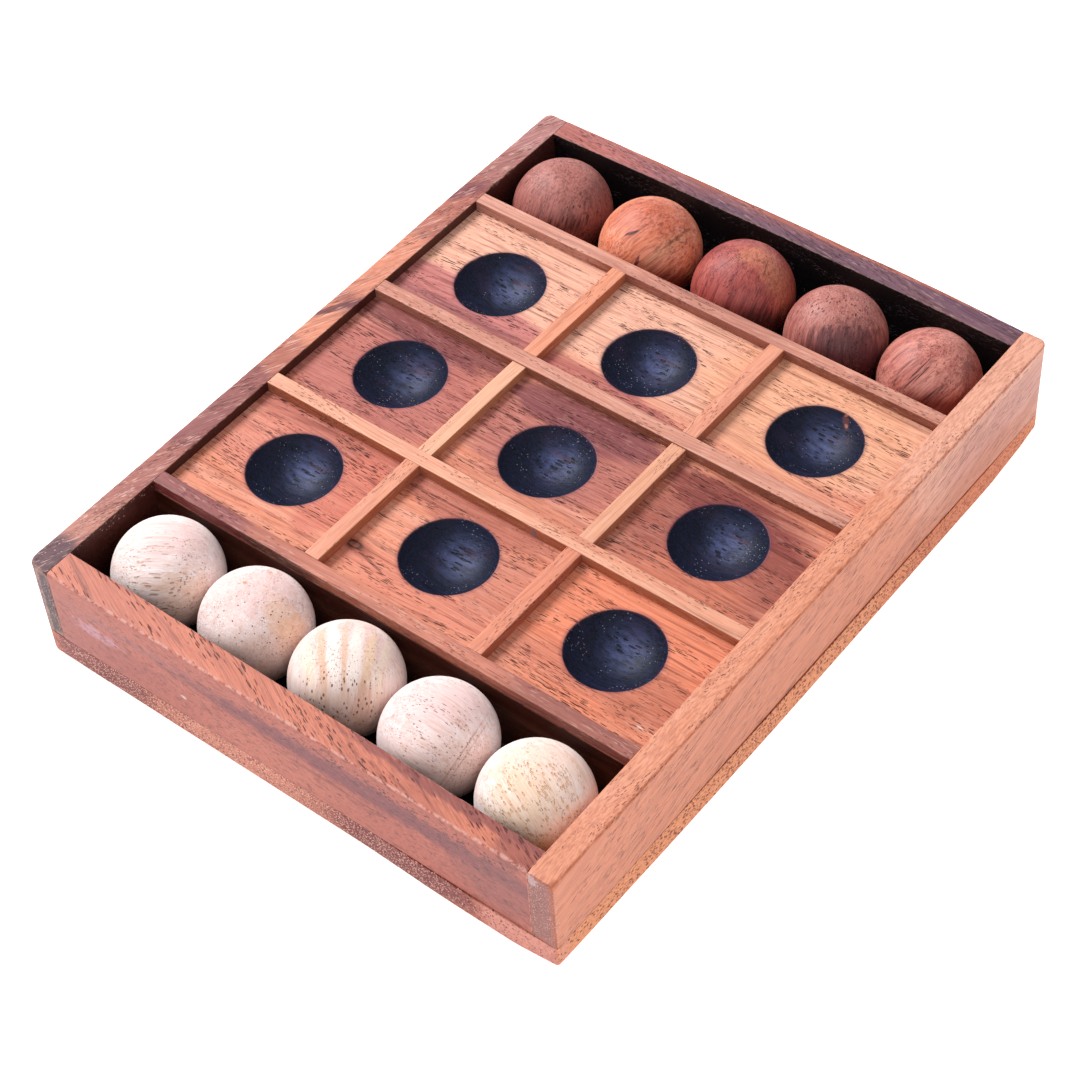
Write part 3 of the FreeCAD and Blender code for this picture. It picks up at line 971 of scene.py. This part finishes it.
def panel_material():
    """One board: orange where it is sapwood, mauve-brown in bands along the grain, with one small knot."""
    stains = [(float(x), float(y), DIMPLE_RIM) for x, y in dimple_centres().values()]
    patches = spots(
        22,
        (0, 40, (90, 17, 30), "#FFCFB4", 0.88, 0, 0.1), (34, 38, (24, 17, 30), "#FFC094", 0.6, 0, 0.3),
        (-45, 24.5, (26, 5.0, 30), "#D18885", 0.95, -2, 0.25),
        (-42, 21.0, (26, 1.6, 30), "#A86B6C", 0.7, 0, 0.5),
        (-2, 20.0, (20, 3.0, 30), "#C57870", 0.9, -4), (-40, -2, (22, 16, 30), "#C77D73", 0.95, 0, 0.2),
        (-40, 12.5, (22, 4.4, 30), "#89494B", 0.9, 0, 0.5), (0, 2, (20, 13, 30), "#C37D73", 0.9, 0, 0.3),
        (0, 11.0, (20, 5.0, 30), "#8C4F54", 0.92, 0, 0.4), (0, -13, (19, 3.0, 30), "#DE9478", 0.7),
        (40, -1, (20, 16, 30), "#AF685A", 0.95, 0, 0.2), (36, 8.5, (17, 4.2, 30), "#954D47", 0.9, -6),
        (50, 3, (8, 3, 30), "#9C554B", 0.7, -6), (-40, -19.5, (22, 4.6, 30), "#C47868", 0.9, 0, 0.5),
        (-45, -30, (16, 8, 30), "#E2917D", 0.7), (-27, -31, (6, 12, 30), "#DF8571", 0.8, 0, 0.3),
        (0, -42, (20, 4, 30), "#E8937A", 0.7), (34, 9, (9, 5, 30), "#8E4A42", 0.6),
        (-2, -20, (18, 5.5, 30), "#C47A68", 0.85), (12, -32, (6, 9, 30), "#DA917B", 0.8),
        (40, -28, (20, 22, 30), "#F89C77", 0.9, 0, 0.3), (50, -37, (9, 7, 30), "#C87E66", 0.7),
        (34, -40, (12, 4, 30), "#D68870", 0.6), (-15.8, -39.6, (3.4, 1.8, 30), "#A0523E", 0.7, 0, 0.2, 0.5),
        (-11.5, -40.9, (4.0, 0.35, 30), "#84402E", 0.7, -14, 0.2),
        (-16.2, -39.4, (1.9, 1.05, 30), "#52241E", 0.9, 0, 0.12, 0.3),
        (-16.3, -39.4, (1.0, 0.55, 30), "#A8684E", 0.9, 0, 0.12, 0.3),
        (53, -43, (0.7, 0.3, 30), "#E8D8D4", 0.8, 0, 0.3), (0, -51.4, (90, 0.5, 4), "#5A2412", 0.9, 0, 0.1),
        (40, -11.8, (20, 3, 30), "#AE7064", 0.4))
    bare = [patch((x + 1.5 - 0.4 * k % 2, y + 5.4, 20.5), (2.4, 0.4, 3), "#5A2A38", 0.3, ragged=1.5)
            for k, (x, y, _) in enumerate(stains)]
    bare += spots(22, (40.4, 41.2, (1.6, 0.5, 2.5), "#7A4844", 0.7, -50, 1.2, 0.5),
                  (40.9, 40.6, (0.5, 0.25, 2.5), "#C08C7C", 0.7, -20, 0.6),
                  (40.0, 41.9, (0.4, 0.2, 2.5), "#B07C6C", 0.7, 10, 0.6))
    bare += spots(21, (42.6, 38.6, (1.1, 0.3, 2.5), "#5E343C", 0.5, -70, 1.0, 0.5))
    return wood("panel_wood", ["#EC9876", "#F2A889", "#F8B79D"], shift=(5, 2, 9), patches=patches,
                # The front side to the trough is darker wood under painted shade.
                stains=stains, bare=bare, walls_and_painted_shade=[face((0, -1, 0), "#3C170C", 0.9)], crowd=(0.28, 0.70),
                streaks=0.5, streak_tone="#8A4034", flecks=0.14, specular=0.22)


def ball_mark(node, across, up, size, tone, strength, angle=0.0, pores=None):
    """A patch on the side of a ball that faces the camera, placed in ball radii and turned in its view."""
    low, high = box_mm(node)
    radius = float((high - low)[2]) / 2
    way = VIEW @ Vector((across, up, math.sqrt(1 - across ** 2 - up ** 2)))
    turn = (Matrix.Rotation(-math.radians(angle), 3, "Z") @ VIEW.transposed()).to_euler()
    middle = tuple(Vector((low + high) / 2) + way * radius)
    return patch(middle, (*size, 6.0), tone, strength, turn, ragged=0.7, soft=0.4, pores=pores)


# Each ball has its tones, its grain as the camera sees it, and its marks. Each mark is as ball_mark() takes
# it: across, up, half sizes, tone, strength, and then angle and pores.
PINPRICK = (1.1, 1.4, 0.19)
# Painted shade that tones down the top of a light ball, where the key light falls.
SHADED_TOP = (0.0, 0.66, (12, 5.5), "#E4B8B0", 0.6)
# On each light ball the broad warm mark low down, at up -0.62 or -0.5, is painted light thrown back from
# the orange wood; the fifth ball's first mark is painted shade on its lit top.
LIGHT_BALLS = (
    (["#F4DAD0", "#FDEEE8"], (1, -0.03, 0.1), (
        SHADED_TOP, (0.1, -0.62, (12, 6), "#F4C8AC", 0.15), (0.45, -0.45, (6, 5), "#E8C0A4", 0.6),
        (-0.35, -0.25, (9, 6), "#C08E74", 0.8, 0, (0.25, 1.6, 0.26)),
        (-0.2, 0.0, (10, 8), "#E0B49C", 0.7, 0, (0.12, 1.2, 0.24)),
        (0.5, 0.15, (5, 8), "#B0806C", 0.7, 0, PINPRICK))),
    (["#F2D4CA", "#FBE6E0"], (0.15, 0.3, 0.95), (
        SHADED_TOP, (0.1, -0.62, (12, 6), "#F4C8AC", 0.35),
        (0.50, 0.12, (2.4, 4.5), "#F0C4A8", 0.7, 20), (0.66, -0.12, (2.6, 4.0), "#EEBE9C", 0.7, -25),
        (0.4, -0.5, (6, 4), "#EAC4B4", 0.5), (-0.12, 0.72, (0.4, 0.3), "#CC8A60", 0.85),
        (0.05, 0.05, (11, 11), "#7A463E", 0.95, 0, (0.8, 1.05, 0.16)))),
    (["#F2D4C6", "#FBE8DE"], (0.08, 0.98, 0.2), (
        SHADED_TOP, (0.1, -0.62, (12, 6), "#F4C8AC", 0.3), (-0.60, 0.35, (1.2, 7), "#F8E0C8", 0.8, 12),
        (-0.36, 0.45, (0.8, 8), "#E2B28E", 0.7, 6),
        (-0.16, 0.5, (1.2, 7), "#FDEFE2", 0.8, 4), (0.02, 0.5, (0.5, 8), "#E4B896", 0.7),
        (0.2, 0.45, (1.3, 7), "#FDEEE0", 0.8, -3), (0.42, 0.4, (0.9, 8), "#F2D0A8", 0.7, -8),
        (0.62, 0.2, (1.0, 8), "#F8E2CA", 0.7, -14), (0.3, -0.45, (1.6, 6), "#D8A88C", 0.7, -4),
        (0.1, -0.5, (11, 4.5), "#E0B8A4", 0.45),
        (-0.1, -0.35, (10, 6), "#8C5C4C", 0.9, 0, (0.7, 1.3, 0.28)),
        (0.1, 0.3, (9, 6), "#B8806C", 0.6, 0, PINPRICK))),
    (["#F6DAD2", "#FDEAE4"], (0.85, -0.5, 0.2), (
        SHADED_TOP, (0.1, -0.5, (12, 8), "#F4C4B0", 0.4),
        (0.5, -0.5, (6, 5), "#E8C0B0", 0.5), (-0.1, 0.2, (9, 8), "#A45A4C", 0.85, 0, (0.35, 2.0, 0.20)),
        (0.55, -0.2, (5, 9), "#A46858", 0.8, 0, (0.8, 1.7, 0.2)),
        (0.42, -0.12, (9, 0.16), "#C08C7C", 0.5, 56), (0.49, -0.15, (9, 0.12), "#C08C7C", 0.4, 56))),
    (["#F8DFD2", "#FEEFE6"], (0.55, -0.8, 0.2), (
        (0.0, 0.66, (12, 5.5), "#EEC0A4", 0.55), (0.1, -0.5, (12, 8), "#F6BC88", 0.35),
        (0.1, -0.78, (7, 3), "#E8B888", 0.7), (-0.3, 0.1, (7, 6), "#F6D2AC", 0.4, 0),
        (0.0, 0.1, (12, 12), "#F2B07C", 0.75, 0, (0.55, 1.5, 0.30)),
        (0.3, -0.1, (10, 10), "#D28E56", 0.8, 0, (0.9, 1.2, 0.11)))),
)
# On each dark ball the broad dark mark at its bottom, at up -0.6 to -0.85, is painted shade; the second
# ball's mark at its top, up 0.6, is painted shade that tones down where the key light falls.
DARK_BALLS = (
    (["#A0645C", "#B87870"], (0.35, 0.9, 0.3), (
        (0.1, -0.75, (11, 5.5), "#74352E", 0.8), (0.72, -0.2, (3.5, 8), "#7A403A", 0.6),
        (0.25, -0.45, (8, 5), "#4A1C1A", 0.8, 0, (0.25, 1.5, 0.3)))),
    (["#E28864", "#EC9876", "#F4AA90"], (0.77, 0.6, 0.2), (
        (0.0, 0.6, (10, 5), "#B85840", 0.65),
        (-0.4, -0.3, (6, 5), "#CC6C4C", 0.35), (0.0, -0.85, (10, 5), "#7C2004", 0.88),
        (0.3, -0.05, (6, 0.9), "#E2A47E", 0.6, 38), (0.45, 0.1, (4, 0.4), "#8A4A30", 0.6, 38),
        (-0.38, 0.2, (1.4, 0.32), "#501C30", 0.9, 15), (-0.3, -0.35, (0.3, 1.6), "#60242E", 0.8, -20))),
    (["#903D3C", "#A84E49", "#BA645A"], (0.3, 0.9, 0.3), (
        (0.3, 0.55, (3.5, 2.6), "#C87E66", 0.6, -20), (0.05, 0.62, (3.0, 1.6), "#CC8468", 0.6, 10),
        (0.5, 0.2, (2.4, 3.4), "#C47C5C", 0.6, 20), (0.72, -0.05, (2.4, 6), "#B86C50", 0.5),
        (0.0, -0.80, (11, 5.0), "#441816", 0.88),
        (-0.55, -0.2, (4.5, 6), "#35141E", 0.9, 0, (0.9, 1.3, 0.2)),
        (0.35, 0.36, (0.14, 1.6), "#6A2E22", 0.8, -20), (-0.4, 0.45, (3, 0.15), "#6A3430", 0.7, 35))),
    (["#A6625A", "#C4867C"], (0.1, 0.95, 0.3), (
        (0.0, -0.6, (12, 7.0), "#5A2228", 0.85, 0), (0.25, -0.25, (7, 5), "#5C303A", 0.6, 0),
        (-0.1, -0.2, (4, 3), "#6A3C40", 0.5, 0), (0.1, 0.55, (9, 4), "#4C2420", 0.9, 0, (0.32, 1.3, 0.28)),
        (0.3, -0.1, (7, 6), "#1E0E12", 0.8, 0, PINPRICK))),
    (["#B6685E", "#D89486"], (0.7, 0.65, 0.3), (
        (0.72, -0.3, (3.5, 8), "#7A3A36", 0.7), (-0.1, -0.72, (11, 4.5), "#7A2210", 0.85),
        (-0.35, 0.12, (3.0, 0.15), "#381212", 0.95, 44), (-0.26, 0.08, (2.4, 0.13), "#381212", 0.9, 46),
        (-0.45, -0.06, (2.0, 0.12), "#4A1A18", 0.9, 44), (-0.1, -0.3, (1.8, 0.12), "#4A1A18", 0.8, 40),
        (0.35, 0.2, (7, 8), "#4C2024", 0.85, 0, (0.9, 1.3, 0.16)))),
)


def make_balls():
    """Five light balls in the front trough and five dark ones in the back, no two alike."""
    pale = {"streaks": 0.3, "streak_tone": "#E0B698", "fibres": 0.3, "fibre_tone": "#DCB49A", "flecks": 0.2,
            "fleck_tone": "#FFF8F0", "roughness": 0.65, "specular": 0.25, "gain": (1.0, 1.04, 1.11)}
    rosy = {"streaks": 0.5, "streak_tone": "#6E3434", "fibres": 0.5, "fibre_tone": "#8A4C44",
            "flecks": 0.12, "fleck_tone": "#D8A090", "roughness": 0.5, "specular": 0.4,
            "gain": (1.0, 0.92, 0.92)}
    kinds = (("light", 3, LIGHT_BALLS, pale, "#B08466", "#CCA48C"),
             ("dark", 5, DARK_BALLS, rosy, "#3C1A1C", "#54241F"))
    for kind, place, balls, look, dash, hair in kinds:
        pores = ((0.5, 2.2, 0.22, dash, 0.7), (0.7, 5.0, 0.26, hair, 0.55))
        for index, (tones, seen_grain, marks) in enumerate(balls):
            node = f"{kind}_ball_{index + 1}"
            grain = tuple(VIEW @ Vector(seen_grain))
            material = wood(node + "_wood", tones, grain=grain, shift=(place + 20 * index, 4, 7),
                            pores=pores, crowd=(0.44, 0.62), bands=(0.02, 0.35), relief=1.6, **look,
                            patches=[ball_mark(node, *mark) for mark in marks])
            make_ball(node, material, 30.0 + index, grain)


def base_wood():
    """Orange on the right, patchy brown and pale in front, with fine pores; its field, the troughs' floor,
    is painted nearly black as shade.
    """
    y, z = -80, 3
    marks = [patch((26, y, 3.5), (17, 4, 4.5), "#823C42", 0.85, ragged=0.5),
             patch((-48, y, 4), (13, 4, 4.2), "#843F42", 0.8, ragged=0.6),
             patch((54, y, z), (9, 4, 9), "#E8A490", 0.85, turn=10),
             patch((62.5, 56, z), (3, 30, 9), "#D87444", 0.6, soft=0.6),
             patch((-10, y, z), (17, 4, 9), "#E29A80", 0.7, ragged=0.6, soft=0.5),
             patch((0, y, z), (60, 2, 9), "#6E302E", 0.9, pores=(0.55, 1.7, 0.36)),
             patch((-8, y, z), (54, 2, 9), "#FFC8AE", 0.85, pores=(0.8, 2.6, 0.46)),
             patch((62.5, -20, z), (1.5, 70, 9), "#843414", 0.95, pores=(0.24, 1.3, 0.34)),
             patch((62.5, 20, z), (1.5, 90, 9), "#A84824", 0.85, pores=(0.35, 1.6, 0.36)),
             # Painted shade: the field between the rails, the troughs' floor, darkened nearly black.
             patch((0, 0, 8), (400, 400, 1.2), "#160906", 0.97, ragged=0.0, soft=0.05)]
    return wood("base_wood", ["#A85E50", "#C0745E", "#D28468"], grain=(0.62, -0.72, 0.30), shift=(8, 8, 8),
                pores=((0.5, 3.0, 0.2, "#7A4440", 0.6),), flecks=0.15, streaks=0.3, specular=0.2,
                gain=(0.84, 0.76, 0.79), faces=[face((1, 0, 0), "#F8AC75", 0.95)], patches=marks)


make_camera()
make_studio()
make_base(base_wood())
make_rails()
make_panel(panel_material())
make_strips()
make_balls()
bpy.context.scene.view_settings.view_transform = "Standard"
